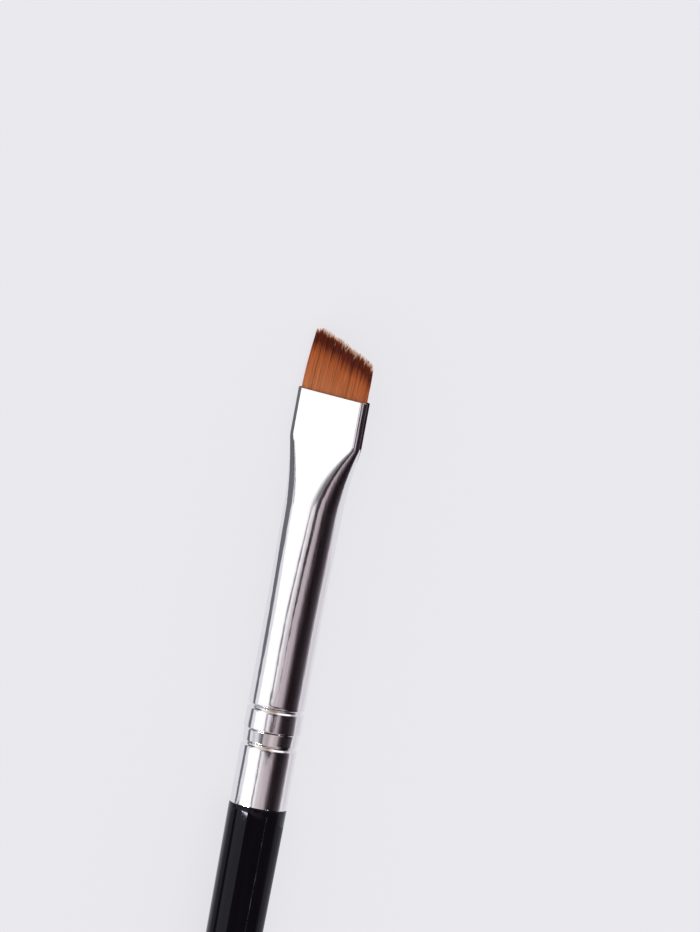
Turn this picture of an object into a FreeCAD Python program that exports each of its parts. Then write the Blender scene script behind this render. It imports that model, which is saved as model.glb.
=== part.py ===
import FreeCAD, Part
import Sketcher
import math
import os

# A slanted eyeliner brush, in millimetres: a lacquered wooden handle, a metal ferrule that is
# crimped on to its tenon and pressed flat at the mouth, and a flat tuft of filaments set in glue.
# The brush lies along Y on the plane Z = 0, with its tuft towards +Y. It is rolled as it would be
# on a table: the handle's shoulder and one edge of the flat mouth both touch the plane.

doc = FreeCAD.newDocument("eyeliner_brush")

# Driving dimensions
DIMENSIONS = {
    # Handle: a turned stick that tapers from the shoulder to a straight, round-ended butt
    "handle_length": 120.0,
    "shoulder_diameter": 5.9,
    "shoulder_chamfer": 0.15,
    "butt_diameter": 4.4,
    "butt_length": 30.0,
    "butt_round": 1.7,
    "tenon_past_crimp": 2.9,
    "tenon_chamfer": 0.5,
    # Ferrule: one drawn tube, round at the handle and pressed to a flat mouth
    "tube_diameter": 5.8,
    "tube_wall": 0.25,
    "ferrule_length": 42.5,
    "mouth_thickness": 1.6,
    "face_crown_angle": 2.0,
    "flat_length": 4.9,
    "die_length": 7.2,
    "round_past_crimp": 6.5,
    "draw_share": 0.2,
    # Crimps: two rolled grooves, with a neck and a swollen barrel between them
    "lower_crimp_height": 6.3,
    "neck_length": 1.6,
    "barrel_length": 2.2,
    "crimp_depth": 0.2,
    "crimp_half_width": 0.26,
    "barrel_swell": 0.05,
    "neck_draw_in": 0.12,
    "neck_top_draw_in": 0.04,
    "neck_edge_length": 0.15,
    # Glue and tuft: filaments rooted in a plug and cut on a slant
    "glue_film": 0.03,
    "glue_plug_length": 9.0,
    "tuft_root_depth": 12.0,
    "tuft_length": 6.35,
    "slant_angle": 21.0,
    "long_corner_round": 0.3,
    "long_corner_flat": 1.7,
    "knee_radius": 3.0,
    "short_corner_round": 0.5,
    "tip_thickness": 0.6,
    "tip_lean": 0.15,
    "lock_count": 15,
    "lock_groove_depth": 0.12,
    "lock_groove_width": 0.22,
}


class Size:
    """A length, together with the sheet expression that gives it."""

    def __init__(self, number, text):
        self.number = number
        self.text = text

    def _join(self, sign, other, number):
        text = other.text if isinstance(other, Size) else repr(float(other))
        return Size(number, "(" + self.text + " " + sign + " " + text + ")")

    def __add__(self, other):
        return self._join("+", other, self.number + number_of(other))

    def __sub__(self, other):
        return self._join("-", other, self.number - number_of(other))

    def __mul__(self, other):
        return self._join("*", other, self.number * number_of(other))

    def __truediv__(self, other):
        return self._join("/", other, self.number / number_of(other))

    def __neg__(self):
        return self * -1


def number_of(value):
    return value.number if isinstance(value, Size) else float(value)


def make_sheet():
    """One row a dimension: its name, and a value cell that carries the name as its alias."""
    sheet = doc.addObject("Spreadsheet::Sheet", "sizes")
    for row, (name, value) in enumerate(DIMENSIONS.items(), start=1):
        sheet.set("A" + str(row), name)
        sheet.set("B" + str(row), str(value))
        sheet.setAlias("B" + str(row), name)
    doc.recompute()
    return sheet


sizes = make_sheet()


def dim(name):
    return Size(float(getattr(sizes, name)), "sizes." + name)


NOTHING = dim("tube_wall") * 0

# Where each body's own origin lies: on the brush's axis, in the plane of the handle's shoulder
axis_height = dim("shoulder_diameter") / 2
overall_length = dim("handle_length") + dim("ferrule_length") + dim("tuft_length")
shoulder_place = dim("handle_length") - overall_length / 2

tube_radius = dim("tube_diameter") / 2
bore_inset = dim("tube_wall")
filling_inset = dim("tube_wall") + dim("glue_film")
plug_front = dim("ferrule_length") - dim("tuft_root_depth")
plug_back = plug_front - dim("glue_plug_length")
flat_start = dim("ferrule_length") - dim("flat_length")
die_start = flat_start - dim("die_length")
barrel_start = dim("lower_crimp_height") + dim("neck_length")
upper_crimp = barrel_start + dim("barrel_length")
draw_start = upper_crimp + dim("round_past_crimp")
tenon_end = upper_crimp + dim("tenon_past_crimp")


def eased(share):
    share = min(max(share, 0.0), 1.0)
    return share * share * (3.0 - 2.0 * share)


def pressed_share(height):
    """How far the tube is pressed at a height: 0 is round and 1 is flat. A slow draw comes first,
    and then the die, whose side is a parabola that ends in a crease where the flat starts."""
    here = height.number
    flat = flat_start.number
    draw = eased((here - draw_start.number) / (flat - draw_start.number))
    die = min(max((here - die_start.number) / (flat - die_start.number), 0.0), 1.0)
    share = number_of(dim("draw_share"))
    return share * draw + (1.0 - share) * die * die


crown = math.radians(number_of(dim("face_crown_angle")))
end_span = math.pi / 2 - crown


def oval_radii(height):
    """The face and end radii of the pressed tube, for its half thickness at a height, so that
    four tangent arcs add up to the round tube's perimeter. Both are the tube's own where round."""
    half_thickness = tube_radius - (tube_radius - dim("mouth_thickness") / 2) * pressed_share(height)
    quarter = tube_radius * (math.pi / 2)
    spread = crown * math.cos(crown) / end_span - (1.0 - math.cos(crown))
    face = (quarter * (math.cos(crown) / end_span) - half_thickness) / spread
    end = (quarter - face * crown) / end_span
    return face, end


BRUSH_AXIS = FreeCAD.Vector(0, 1, 0)


def resting_turn():
    """How far the brush rolls from level flats, in degrees, until the mouth's edge on the long
    corner's side meets the surface that the handle's shoulder lies on."""
    face, end = (radius.number for radius in oval_radii(dim("ferrule_length")))
    reach = (axis_height.number - end) / ((face - end) * math.sin(crown))
    return math.degrees(math.asin(min(reach, 1.0)))


def make_body(name):
    """A body whose origin stands at the shoulder, on the brush's axis, turned as the brush lies."""
    body = doc.addObject("PartDesign::Body", name)
    body.Label = name
    body.Placement = FreeCAD.Placement(FreeCAD.Vector(), FreeCAD.Rotation(BRUSH_AXIS, -resting_turn()))
    body.setExpression("Placement.Base.y", shoulder_place.text)
    body.setExpression("Placement.Base.z", axis_height.text)
    return body


def make_sketch(body, name, role, height=None):
    """A sketch on one of the body's origin planes, or lifted along Y by height."""
    sketch = body.newObject("Sketcher::SketchObject", name)
    plane = next(item for item in body.Origin.OriginFeatures if item.Role == role)
    sketch.AttachmentSupport = [(plane, "")]
    sketch.MapMode = "FlatFace"
    if height is not None:
        sketch.setExpression("AttachmentOffset.Base.z", (-height).text)
    return sketch


def bind(sketch, constraint, size):
    index = sketch.addConstraint(constraint)
    sketch.setExpression("Constraints[" + str(index) + "]", size.text)


def pin(sketch, edge, end, x, y):
    """Fix one end of an edge at (x, y), measured from the sketch's origin."""
    for kind, axis, size in (("DistanceX", -2, x), ("DistanceY", -1, y)):
        if size is NOTHING:
            sketch.addConstraint(Sketcher.Constraint("PointOnObject", edge, end, axis))
        else:
            bind(sketch, Sketcher.Constraint(kind, -1, 1, edge, end, size.number), size)


def vector(x, y):
    return FreeCAD.Vector(number_of(x), number_of(y), 0)


def draw_outline(sketch, corners):
    """A closed chain of edges. A corner is (x, y), or (x, y, radius, side) where the edge that
    leaves it is an arc: side is 1 where the arc bulges to the left of its chord, and -1 to the right."""
    edges = []
    for corner, following in zip(corners, corners[1:] + corners[:1]):
        start = vector(*corner[:2])
        finish = vector(*following[:2])
        if len(corner) == 2:
            edges.append((Part.LineSegment(start, finish), 1, 2))
            continue
        radius, side = number_of(corner[2]), corner[3]
        chord = finish - start
        across = FreeCAD.Vector(-chord.y, chord.x, 0).normalize() * side
        sag = radius - math.sqrt(radius ** 2 - (chord.Length / 2) ** 2)
        arc = Part.Arc(start, (start + finish) / 2 + across * sag, finish)
        runs_forward = side < 0
        edges.append((arc, 1, 2) if runs_forward else (arc, 2, 1))
    indices = [sketch.addGeometry(edge[0]) for edge in edges]
    for number, index in enumerate(indices):
        _, first, last = edges[number]
        following = (number + 1) % len(indices)
        joined = (indices[following], edges[following][1])
        sketch.addConstraint(Sketcher.Constraint("Coincident", index, last, *joined))
        pin(sketch, index, first, corners[number][0], corners[number][1])
        if len(corners[number]) > 2:
            radius = corners[number][2]
            bind(sketch, Sketcher.Constraint("Radius", index, radius.number), radius)


def tube_line(inset, first_height, last_height):
    """The tube's side with both crimps, inset from its outer skin, from one height to another."""
    skin = tube_radius - inset
    neck = dim("neck_draw_in")
    half_width = dim("crimp_half_width")
    lower = dim("lower_crimp_height")
    return [
        (skin, first_height),
        (skin, lower - half_width),
        (skin - dim("crimp_depth"), lower),
        (skin - neck, lower + half_width),
        (skin - dim("neck_top_draw_in"), barrel_start - dim("neck_edge_length")),
        (skin + dim("barrel_swell"), barrel_start),
        (skin, upper_crimp - half_width),
        (skin - dim("crimp_depth"), upper_crimp),
        (skin, upper_crimp + half_width),
        (skin, last_height),
    ]


def revolve(body, sketch):
    """A full turn of the sketch about the brush's axis."""
    feature = body.newObject("PartDesign::Revolution", sketch.Name + "_turned")
    feature.Profile = sketch
    feature.ReferenceAxis = (sketch, ["V_Axis"])
    feature.Angle = 360.0
    sketch.Visibility = False
    return feature


def draw_oval(sketch, face, end, inset, shift=NOTHING):
    """Four tangent arcs round the axis: two crowned faces and two ends, inset from the skin."""
    across = (face - inset) * math.sin(crown)
    up = (end - inset) * math.cos(crown)
    left, right = -across, across
    if shift is not NOTHING:
        left, right = shift - across, shift + across
    face_arc, end_arc = face - inset, end - inset
    draw_outline(sketch, [
        (right, -up, end_arc, -1),
        (right, up, face_arc, -1),
        (left, up, end_arc, -1),
        (left, -up, face_arc, -1),
    ])


def stations(first, last, count):
    """Evenly spaced heights from first to last, both included."""
    return [first + (last - first) * (step / count) for step in range(count + 1)]


PRESSED_STATIONS = stations(draw_start, die_start, 2)[:-1] + stations(die_start, flat_start, 9)


def stations_between(first, last):
    """First and last, with the ferrule's own stations between them, so that what fills the tube
    has sides as straight as the tube's and stays clear of its bore."""
    return [first, *(here for here in PRESSED_STATIONS if first.number < here.number < last.number), last]


def oval_sketches(body, name, heights, insets):
    """One sketch at each height, with an oval of the pressed tube at each inset."""
    sketches = []
    for number, height in enumerate(heights):
        sketch = make_sketch(body, name + "_" + str(number), "XZ_Plane", height)
        face, end = oval_radii(height)
        for inset in insets:
            draw_oval(sketch, face, end, inset)
        sketches.append(sketch)
    return sketches


def loft(body, name, sketches, kind="PartDesign::AdditiveLoft"):
    """Straight-sided from each sketch to the next, so that no wall bulges between two of them."""
    feature = body.newObject(kind, name)
    feature.Profile = sketches[0]
    feature.Sections = sketches[1:]
    feature.Ruled = True
    return feature


def pad(body, name, sketch, length):
    """The sketch carried straight on towards the tip."""
    feature = body.newObject("PartDesign::Pad", name)
    feature.Profile = sketch
    feature.Reversed = True
    feature.setExpression("Length", length.text)
    return feature


def make_handle():
    """A turned and lacquered stick. Its tenon takes the shape that the crimps press into it."""
    body = make_body("handle")
    sketch = make_sketch(body, "stick_outline", "XY_Plane")
    shoulder = dim("shoulder_diameter") / 2
    bevel = dim("shoulder_chamfer")
    butt = dim("butt_diameter") / 2
    butt_round = dim("butt_round")
    butt_end = -dim("handle_length")
    chamfer = dim("tenon_chamfer")
    tenon_side = tube_line(filling_inset, NOTHING, tenon_end - chamfer)
    draw_outline(sketch, [
        (NOTHING, butt_end),
        (butt - butt_round, butt_end, butt_round, -1),
        (butt, butt_end + butt_round),
        (butt, butt_end + dim("butt_length")),
        (shoulder, -bevel),
        (shoulder - bevel, NOTHING),
        *tenon_side,
        (tube_radius - filling_inset - chamfer, tenon_end),
        (NOTHING, tenon_end),
    ])
    revolve(body, sketch)
    return body


def make_ferrule():
    """A drawn tube with an even wall: crimped where it is round, and pressed flat at the mouth."""
    body = make_body("ferrule")
    tube = make_sketch(body, "tube_wall_outline", "XY_Plane")
    outer_side = tube_line(NOTHING, NOTHING, draw_start)
    inner_side = tube_line(bore_inset, NOTHING, draw_start)
    draw_outline(tube, outer_side + inner_side[::-1])
    revolve(body, tube)
    sections = oval_sketches(body, "pressed_wall", PRESSED_STATIONS, (NOTHING, bore_inset))
    loft(body, "pressed_wall", sections)
    pad(body, "flat_mouth", sections[-1], dim("flat_length"))
    return body


def make_glue_plug():
    """Set glue that holds the tuft's roots in the tube, behind the air gap over the tenon."""
    body = make_body("glue_plug")
    heights = stations_between(plug_back, plug_front)
    loft(body, "set_glue", oval_sketches(body, "glue", heights, (filling_inset,)))
    return body


def make_bristle_tuft():
    """The filaments as one solid: rooted on the glue, squeezed by the mouth and cut on a slant."""
    body = make_body("bristle_tuft")
    mouth = dim("ferrule_length")
    tip = mouth + dim("tuft_length")
    roots = oval_sketches(body, "roots", stations_between(plug_front, flat_start), (filling_inset,))
    loft(body, "rooted_filaments", roots)
    pad(body, "squeezed_filaments", roots[-1], dim("flat_length"))

    face, end = oval_radii(mouth)
    mouth_section = make_sketch(body, "tuft_at_mouth", "XZ_Plane", mouth)
    draw_oval(mouth_section, face, end, filling_inset)
    tip_section = make_sketch(body, "tuft_at_tip", "XZ_Plane", tip)
    tip_end = dim("tip_thickness") / 2
    half_width = (face - end) * math.sin(crown) + end - filling_inset
    tip_face = tip_end + (half_width - tip_end) / math.sin(crown)
    draw_oval(tip_section, tip_face, tip_end, NOTHING, dim("tip_lean"))
    loft(body, "free_filaments", [mouth_section, tip_section])
    trim_tip(body, half_width, tip)
    cut_lock_grooves(body, half_width, mouth, tip)
    return body


def trim_tip(body, half_width, tip):
    """The slanted cut: flat over the long corner, bent at the knee and round at the short corner."""
    slant = math.radians(number_of(dim("slant_angle")))
    clear = dim("tuft_length")
    left = dim("tip_lean") - half_width
    right = dim("tip_lean") + half_width
    corner = dim("long_corner_round")
    knee_x = left + dim("long_corner_flat")
    knee = dim("knee_radius") * math.tan(slant / 2)
    short_round = dim("short_corner_round")
    short = short_round * math.tan((math.pi / 2 - slant) / 2)
    short_y = tip - (right - knee_x) * math.tan(slant)
    sketch = make_sketch(body, "slanted_cut", "XY_Plane")
    draw_outline(sketch, [
        (left - clear, tip - corner),
        (left, tip - corner, corner, 1),
        (left + corner, tip),
        (knee_x - knee, tip, dim("knee_radius"), 1),
        (knee_x + knee * math.cos(slant), tip - knee * math.sin(slant)),
        (right - short * math.cos(slant), short_y + short * math.sin(slant), short_round, 1),
        (right, short_y - short),
        (right + clear, short_y - short),
        (right + clear, tip + clear),
        (left - clear, tip + clear),
    ])
    cut = body.newObject("PartDesign::Pocket", "slanted_trim")
    cut.Profile = sketch
    cut.SideType = "Symmetric"
    cut.Type = "ThroughAll"


def cut_lock_grooves(body, half_width, mouth, tip):
    """Shallow V grooves that part the filaments into locks, on both faces, deeper at the tip."""
    count = int(number_of(dim("lock_count")))
    spacing = half_width * 2 / count
    groove = dim("lock_groove_width") / 2
    mouth_bottom = dim("mouth_thickness") / 2 - filling_inset
    tip_bottom = dim("tip_thickness") / 2 - dim("lock_groove_depth")
    first = spacing - half_width
    for side, name in ((1, "upper"), (-1, "lower")):
        sketches = []
        for place, height, bottom in (("mouth", mouth, mouth_bottom), ("tip", tip, tip_bottom)):
            sketch = make_sketch(body, name + "_groove_at_" + place, "XZ_Plane", height)
            top = (bottom + dim("mouth_thickness")) * side
            draw_outline(sketch, [
                (first, bottom * side),
                (first + groove * side, top),
                (first - groove * side, top),
            ])
            sketches.append(sketch)
        groove_cut = loft(body, name + "_lock_groove", sketches, "PartDesign::SubtractiveLoft")
        doc.recompute()
        row = body.newObject("PartDesign::LinearPattern", name + "_lock_grooves")
        row.Originals = [groove_cut]
        row.Direction = (sketches[0], ["H_Axis"])
        row.setExpression("Length", (spacing * (count - 2)).text)
        row.Occurrences = count - 1
        body.Tip = row
        doc.recompute()


def check(subparts):
    """Stop if a feature has failed, or a sub-part isn't one valid solid."""
    for item in doc.Objects:
        if "Invalid" in item.State or "Error" in item.State:
            raise RuntimeError("not built: " + item.Name + " " + str(item.State))
    for body in subparts:
        if body.Shape.isNull() or not body.Shape.isValid() or len(body.Shape.Solids) != 1:
            raise RuntimeError("not one valid solid: " + body.Label)


subparts = [make_handle(), make_ferrule(), make_glue_plug(), make_bristle_tuft()]
doc.recompute()
check(subparts)

os.makedirs("parts", exist_ok=True)
for body in subparts:
    body.Shape.exportStep("parts/" + body.Label + ".step")
    box = body.Shape.BoundBox
    print(body.Label, "volume", round(body.Shape.Volume, 3), "X", round(box.XMin, 3), round(box.XMax, 3),
          "Y", round(box.YMin, 3), round(box.YMax, 3), "Z", round(box.ZMin, 3), round(box.ZMax, 3))
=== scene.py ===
import math

import bpy
import numpy as np
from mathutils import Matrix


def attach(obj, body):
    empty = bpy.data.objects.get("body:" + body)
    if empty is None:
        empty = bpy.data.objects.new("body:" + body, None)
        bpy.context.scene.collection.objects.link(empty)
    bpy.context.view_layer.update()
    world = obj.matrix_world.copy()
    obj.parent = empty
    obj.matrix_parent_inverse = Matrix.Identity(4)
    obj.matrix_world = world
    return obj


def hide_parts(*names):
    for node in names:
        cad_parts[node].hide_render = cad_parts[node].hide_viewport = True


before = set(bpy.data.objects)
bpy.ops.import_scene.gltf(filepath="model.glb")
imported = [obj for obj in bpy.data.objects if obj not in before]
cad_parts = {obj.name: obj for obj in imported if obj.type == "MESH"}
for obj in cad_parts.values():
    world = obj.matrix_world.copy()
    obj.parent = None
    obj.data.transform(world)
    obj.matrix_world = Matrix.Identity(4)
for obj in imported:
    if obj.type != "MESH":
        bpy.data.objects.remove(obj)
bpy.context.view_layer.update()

# Handle: a stick of close-grained wood, turned on a lathe to a long taper, with a thinner tenon for
# the ferrule. It is dipped in black lacquer, which dries to a deep gloss.

# Lengths are in millimetres, and heights are along the brush from the shoulder
MM = 0.001
SHOULDER_RADIUS = 2.95
SHOULDER_BEVEL = 0.13
RIM_LENGTH = 0.6
BUTT_RADIUS = 2.2
BUTT_ROUND = 1.7
HANDLE_LENGTH = 120.0
BUTT_LENGTH = 30.0
TENON_LENGTH = 13.0
TENON_CHAMFER = 0.5
TUBE_RADIUS = 2.9
TUBE_WALL = 0.25
GLUE_FILM = 0.03
FILLING_INSET = TUBE_WALL + GLUE_FILM
FERRULE_LENGTH = 42.5
MOUTH_HALF_THICKNESS = 0.8
FACE_CROWN = math.radians(2.0)
END_SPAN = math.pi / 2 - FACE_CROWN
# Where the shoulder is along the frame
SHOULDER_PLACE = 35.575
# The straight butt stops this far short of the taper, which softens the corner between them
TAPER_EASE = 0.5
# The ring nearest the pole, how many rings each part has, and how many points are in a ring
POLE_RING = 0.25
BUTT_RINGS, TAPER_RINGS, BEVEL_RINGS, TENON_RINGS = 14, 40, 8, 120
HANDLE_POINTS = 160
# The side of the tube where it is rolled in: height, and how far out it stands
CRIMP_LINE = np.array([
    (6.04, 0.0), (6.3, -0.2), (6.56, -0.12), (7.75, -0.04),
    (7.9, 0.05), (9.84, 0.0), (10.1, -0.2), (10.36, 0.0),
])
CRIMP_SOFTNESS = 0.07
WINDOW_PLACES = 9
# Points closer than this are one point, in metres
WELD_DISTANCE = 1e-7


def spread_mean(law, places, half_window):
    """The law's mean over a short window round each place, which rounds off its corners."""
    offsets = np.linspace(-half_window, half_window, WINDOW_PLACES)
    return law(places[..., None] + offsets).mean(axis=-1)


def crimp_offset(heights):
    """How far the rolled side stands out from the plain tube: straight lines between the named
    places, with their corners rounded."""
    places, offsets = CRIMP_LINE.T
    return spread_mean(lambda height: np.interp(height, places, offsets), heights, CRIMP_SOFTNESS)


def face_and_end_radii(half_thickness):
    """The pressed tube's section is four tangent arcs, two crowned faces and two ends, whose
    lengths always add up to the round tube's perimeter. Solved here for a half thickness."""
    quarter = TUBE_RADIUS * math.pi / 2
    cosine = math.cos(FACE_CROWN)
    spread = FACE_CROWN * cosine / END_SPAN - (1.0 - cosine)
    face = (quarter * cosine / END_SPAN - half_thickness) / spread
    return face, (quarter - face * FACE_CROWN) / END_SPAN


def resting_turn():
    """The roll at which one edge of the flat mouth meets the surface that the shoulder lies on:
    its sine is the height left under the edge's centre over that centre's distance from the axis."""
    face, end = face_and_end_radii(MOUTH_HALF_THICKNESS)
    return math.asin((SHOULDER_RADIUS - end) / ((face - end) * math.sin(FACE_CROWN)))


TURN = resting_turn()
ACROSS = np.array([math.cos(TURN), 0.0, math.sin(TURN)])
ALONG = np.array([0.0, 1.0, 0.0])
OUT_OF_FACE = np.array([-math.sin(TURN), 0.0, math.cos(TURN)])


def laid_down(points):
    """Points in millimetres, as (across the faces, along from the shoulder, out of the face), put
    where the brush lies, in metres."""
    placed = points @ np.array([ACROSS, ALONG, OUT_OF_FACE])
    return (placed + (0.0, SHOULDER_PLACE, SHOULDER_RADIUS)) * MM


def tube_faces(rings, points, ends_meet=False):
    """Quads from each ring of points to the next. Ends that meet join the last ring to the first."""
    ring = np.arange(rings if ends_meet else rings - 1)[:, None]
    point = np.arange(points)[None, :]
    this_ring, next_ring = ring * points, (ring + 1) % rings * points
    beside = (point + 1) % points
    corners = (this_ring + point, this_ring + beside, next_ring + beside, next_ring + point)
    return np.stack(np.broadcast_arrays(*corners), axis=-1).reshape(-1, 4)


def new_piece(name, points, faces, material):
    """A smooth mesh object at the origin, from lists of points and faces."""
    mesh = bpy.data.meshes.new(name)
    mesh.from_pydata(points, [], faces)
    mesh.update()
    mesh.shade_smooth()
    mesh.materials.append(material)
    piece = bpy.data.objects.new(name, mesh)
    bpy.context.collection.objects.link(piece)
    return piece


def closed_piece(name, points, faces, material):
    """A piece whose faces are turned, where they need it, to point out of the volume they close."""
    corners = points[faces[:, :3]]
    volume = np.einsum("ij,ij->i", corners[:, 0], np.cross(corners[:, 1], corners[:, 2])).sum()
    outward = faces[:, ::-1] if volume < 0 else faces
    return new_piece(name, points.tolist(), outward.tolist(), material)


def linear(hex_code):
    """An sRGB hex colour as the linear RGBA that the shaders take."""
    parts = (int(hex_code[place:place + 2], 16) / 255 for place in (1, 3, 5))
    return (*(p / 12.92 if p <= 0.04045 else ((p + 0.055) / 1.055) ** 2.4 for p in parts), 1.0)


def add_node(tree, kind, values=None, links=None, **settings):
    """One node with its settings, the values of its inputs, and the sockets that feed them."""
    node = tree.nodes.new(kind)
    for name, value in settings.items():
        setattr(node, name, value)
    for name, value in (values or {}).items():
        node.inputs[name].default_value = value
    for name, socket in (links or {}).items():
        tree.links.new(socket, node.inputs[name])
    return node


def new_material(name):
    """A material with nothing in it yet."""
    material = bpy.data.materials.new(name)
    material.use_nodes = True
    material.node_tree.nodes.clear()
    return material, material.node_tree


def finish_material(tree, shader):
    """The material's output, fed by its last shader."""
    add_node(tree, "ShaderNodeOutputMaterial", links={"Surface": shader.outputs[0]})


def set_ramp(ramp, stops):
    """The stops of a colour ramp, as (place, hex colour) in rising order."""
    elements = ramp.color_ramp.elements
    while len(elements) < len(stops):
        elements.new(1.0)
    for element, (place, hex_code) in zip(elements, stops):
        element.position = place
        element.color = linear(hex_code)


def stretched_noise(tree, place, across, along, detail, roughness):
    """Noise whose marks are so many millimetres wide across the brush and long along it."""
    scale = (1 / (across * MM), 1 / (along * MM), 1 / (across * MM))
    stretched = add_node(tree, "ShaderNodeMapping", {"Scale": scale}, {"Vector": place})
    values = {"Scale": 1.0, "Detail": detail, "Roughness": roughness}
    return add_node(tree, "ShaderNodeTexNoise", values, {"Vector": stretched.outputs[0]}).outputs["Fac"]


def arc_line(centre, radius, first, last, count):
    """Points on an arc from one angle to another, in degrees."""
    angles = np.radians(np.linspace(first, last, count))
    return np.stack([centre[0] + radius * np.cos(angles), centre[1] + radius * np.sin(angles)], axis=1)


def handle_profile():
    """The turned outline from the butt's pole, round its edge, up the taper, over the shoulder and
    along the tenon to its end: (radius, height) pairs."""
    butt_end = -HANDLE_LENGTH
    butt_centre = (BUTT_RADIUS - BUTT_ROUND, butt_end + BUTT_ROUND)
    shoulder_centre = (SHOULDER_RADIUS - SHOULDER_BEVEL, -SHOULDER_BEVEL)
    taper = np.linspace(0.0, 1.0, TAPER_RINGS)[1:-1, None]
    taper_start = np.array([BUTT_RADIUS, butt_end + BUTT_LENGTH])
    taper_end = np.array([SHOULDER_RADIUS, -RIM_LENGTH])
    tenon_radius = TUBE_RADIUS - FILLING_INSET
    tenon_heights = np.linspace(0.0, TENON_LENGTH - TENON_CHAMFER, TENON_RINGS)
    return np.concatenate([
        [(0.0, butt_end), (POLE_RING, butt_end)],
        arc_line(butt_centre, BUTT_ROUND, -90, 0, BUTT_RINGS),
        [(BUTT_RADIUS, butt_end + BUTT_LENGTH - TAPER_EASE)],
        taper_start + taper * (taper_end - taper_start),
        [taper_end],
        arc_line(shoulder_centre, SHOULDER_BEVEL, 0, 90, BEVEL_RINGS),
        np.stack([tenon_radius + crimp_offset(tenon_heights), tenon_heights], axis=1),
        [(tenon_radius - TENON_CHAMFER, TENON_LENGTH), (0.0, TENON_LENGTH)],
    ])


def turned(profile, points):
    """A full turn of (radius, height) pairs about the brush's axis. The end pairs are poles, whose
    rings shrink to a point, so merged points close the form there."""
    angles = np.linspace(0.0, 2 * math.pi, points, endpoint=False)
    radius, height = profile[:, 0, None], profile[:, 1, None]
    places = np.broadcast_arrays(radius * np.cos(angles), height, radius * np.sin(angles))
    return np.stack(places, axis=-1).reshape(-1, 3), tube_faces(len(profile), points)


def merged(piece):
    """Joins the points that fall on one another, as at a pole."""
    modifier = piece.modifiers.new("close_poles", "WELD")
    modifier.merge_threshold = WELD_DISTANCE
    return piece


def lacquer_material():
    """Black nitrocellulose lacquer over wood: near black, with a deep gloss. Dust and dips in the
    coat break its reflections a little, and the wood's grain sinks very faintly into it."""
    material, tree = new_material("black_dipped_lacquer")
    place = add_node(tree, "ShaderNodeTexCoord").outputs["Object"]
    grain = stretched_noise(tree, place, across=0.5, along=9.0, detail=3.0, roughness=0.6)
    dips = add_node(tree, "ShaderNodeTexNoise", {"Scale": 1 / (2.5 * MM), "Detail": 1.0}, {"Vector": place})
    sunk = add_node(tree, "ShaderNodeBump", {"Strength": 0.12, "Distance": 0.004 * MM}, {"Height": grain})
    coat = add_node(tree, "ShaderNodeBump", {"Strength": 0.25, "Distance": 0.02 * MM},
                    {"Height": dips.outputs["Fac"], "Normal": sunk.outputs[0]})
    tone = add_node(tree, "ShaderNodeValToRGB", links={"Fac": grain})
    set_ramp(tone, [(0.3, "#0C0A0E"), (0.7, "#110E13")])
    gloss = {"Roughness": 0.07, "IOR": 1.48, "Specular IOR Level": 0.19, "Specular Tint": linear("#EBEAFF")}
    shader = add_node(tree, "ShaderNodeBsdfPrincipled", gloss,
                      {"Base Color": tone.outputs[0], "Normal": coat.outputs[0]})
    finish_material(tree, shader)
    return material


handle_points, handle_faces = turned(handle_profile(), HANDLE_POINTS)
handle = merged(closed_piece("lacquered_handle", laid_down(handle_points), handle_faces, lacquer_material()))
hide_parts("handle")
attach(handle, "root")

# Ferrule: a seamless tube of bright aluminium, drawn and polished, rolled into the tenon with two
# crimps and pressed flat between dies at its mouth. The press leaves a crease round the flat, and
# the drawing and rolling leave fine ripples that break up its mirror.

DRAW_START = 16.6
DRAW_SHARE = 0.2
DIE_START = 30.4
FLAT_START = 37.6
CREASE_SOFTNESS = 0.3
SECTION_POINTS = 256
# Rings of the outer skin, close together at the crimps, the die and the crease: first height, last
# height and how many
OUTER_SPANS = [
    (0.1, 0.1, 1), (0.3, 5.9, 8), (5.98, 6.66, 20), (6.75, 7.6, 6), (7.64, 8.0, 14), (8.1, 9.7, 8),
    (9.78, 10.44, 20), (10.7, 16.0, 10), (16.6, 30.0, 24), (30.4, 37.0, 34), (37.1, 38.1, 18),
    (38.4, FERRULE_LENGTH - 0.1, 8),
]
BORE_RINGS = 60
BORE_MARGIN = 0.2
# The rounding of the cut edges, and how close the next rings are, so that flats stay flat
CUT_EDGE_ROUND = 0.06
CUT_EDGE_RINGS = 5
EDGE_GUARD = 0.03


def pressed_law(heights):
    """How far the tube is pressed: an eased draw of a fifth, and then the die's parabola."""
    draw = np.clip((heights - DRAW_START) / (FLAT_START - DRAW_START), 0.0, 1.0)
    die = np.clip((heights - DIE_START) / (FLAT_START - DIE_START), 0.0, 1.0)
    return DRAW_SHARE * draw * draw * (3.0 - 2.0 * draw) + (1.0 - DRAW_SHARE) * die * die


def half_thickness_at(heights):
    """Half the tube's thickness: round at first, and pressed down to the mouth's by the law."""
    pressed = spread_mean(pressed_law, heights, CREASE_SOFTNESS)
    return TUBE_RADIUS - (TUBE_RADIUS - MOUTH_HALF_THICKNESS) * pressed


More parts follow.
